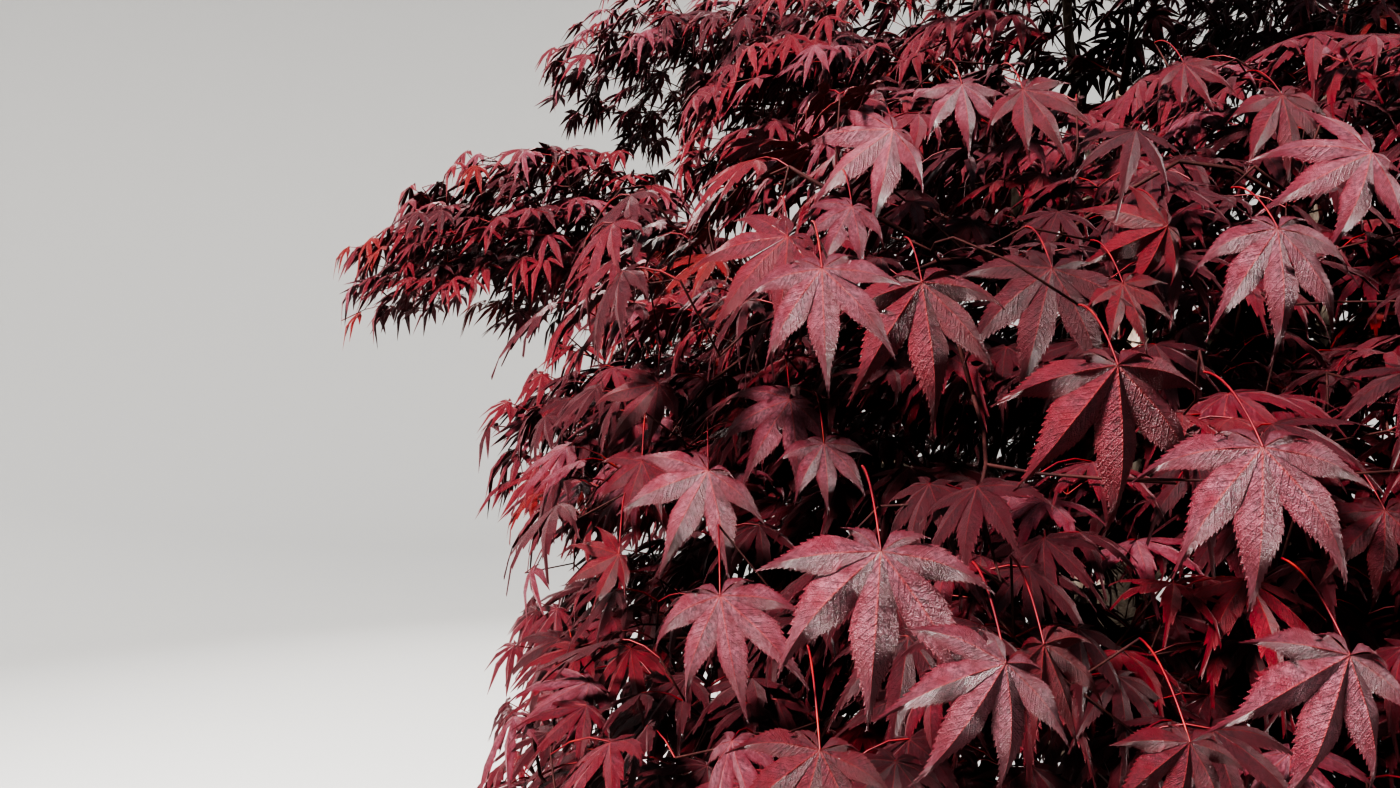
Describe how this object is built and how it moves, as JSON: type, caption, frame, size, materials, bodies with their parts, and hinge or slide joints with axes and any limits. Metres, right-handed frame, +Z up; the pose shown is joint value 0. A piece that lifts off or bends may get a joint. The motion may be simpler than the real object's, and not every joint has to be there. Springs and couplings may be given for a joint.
{
  "type": "potted red japanese maple",
  "caption": "Young red-leaved maple with a short winding trunk, spreading boughs and drooping tiers of pointed leaves, growing in a plain round clay pot.",
  "frame": {"origin": "middle of the pot's flat underside, under the foot of the trunk", "axes": "+Z up along the pot's axis; -Y towards the front, the side the reference shows; +X to the right as seen from the front"},
  "size_m": [1.8578, 1.7317, 1.8775],
  "materials": {
    "clay": "matte unglazed fired clay",
    "potting_mix": "matte bark mulch over potting mix",
    "bark": "matte grey-brown bark",
    "foliage": "satin burgundy leaves"
  },
  "bodies": {
    "root": {"pot": "clay", "soil": "potting_mix", "trunk": "bark", "bough_front_low": "bark", "bough_front_mid": "bark", "bough_front_top": "bark", "bough_front_centre": "bark", "bough_left_low": "bark", "bough_left_mid": "bark", "bough_left_back": "bark", "bough_left_upper": "bark", "bough_back_left": "bark", "bough_upper_left": "bark", "bough_crown_top": "bark", "bough_front_upper": "bark", "bough_upper_right": "bark", "bough_right_upper": "bark", "bough_back_upper": "bark", "bough_back_low": "bark", "bough_right_back": "bark", "bough_right_mid": "bark", "bough_right_low": "bark", "bough_right_front": "bark", "foliage_front_low": "foliage", "foliage_front_mid": "foliage", "foliage_front_top": "foliage", "foliage_front_centre": "foliage", "foliage_left_low": "foliage", "foliage_left_mid": "foliage", "foliage_left_back": "foliage", "foliage_left_upper": "foliage", "foliage_back_left": "foliage", "foliage_upper_left": "foliage", "foliage_crown_top": "foliage", "foliage_front_upper": "foliage", "foliage_upper_right": "foliage", "foliage_right_upper": "foliage", "foliage_back_upper": "foliage", "foliage_back_low": "foliage", "foliage_right_back": "foliage", "foliage_right_mid": "foliage", "foliage_right_low": "foliage", "foliage_right_front": "foliage"}
  },
  "joints": []
}
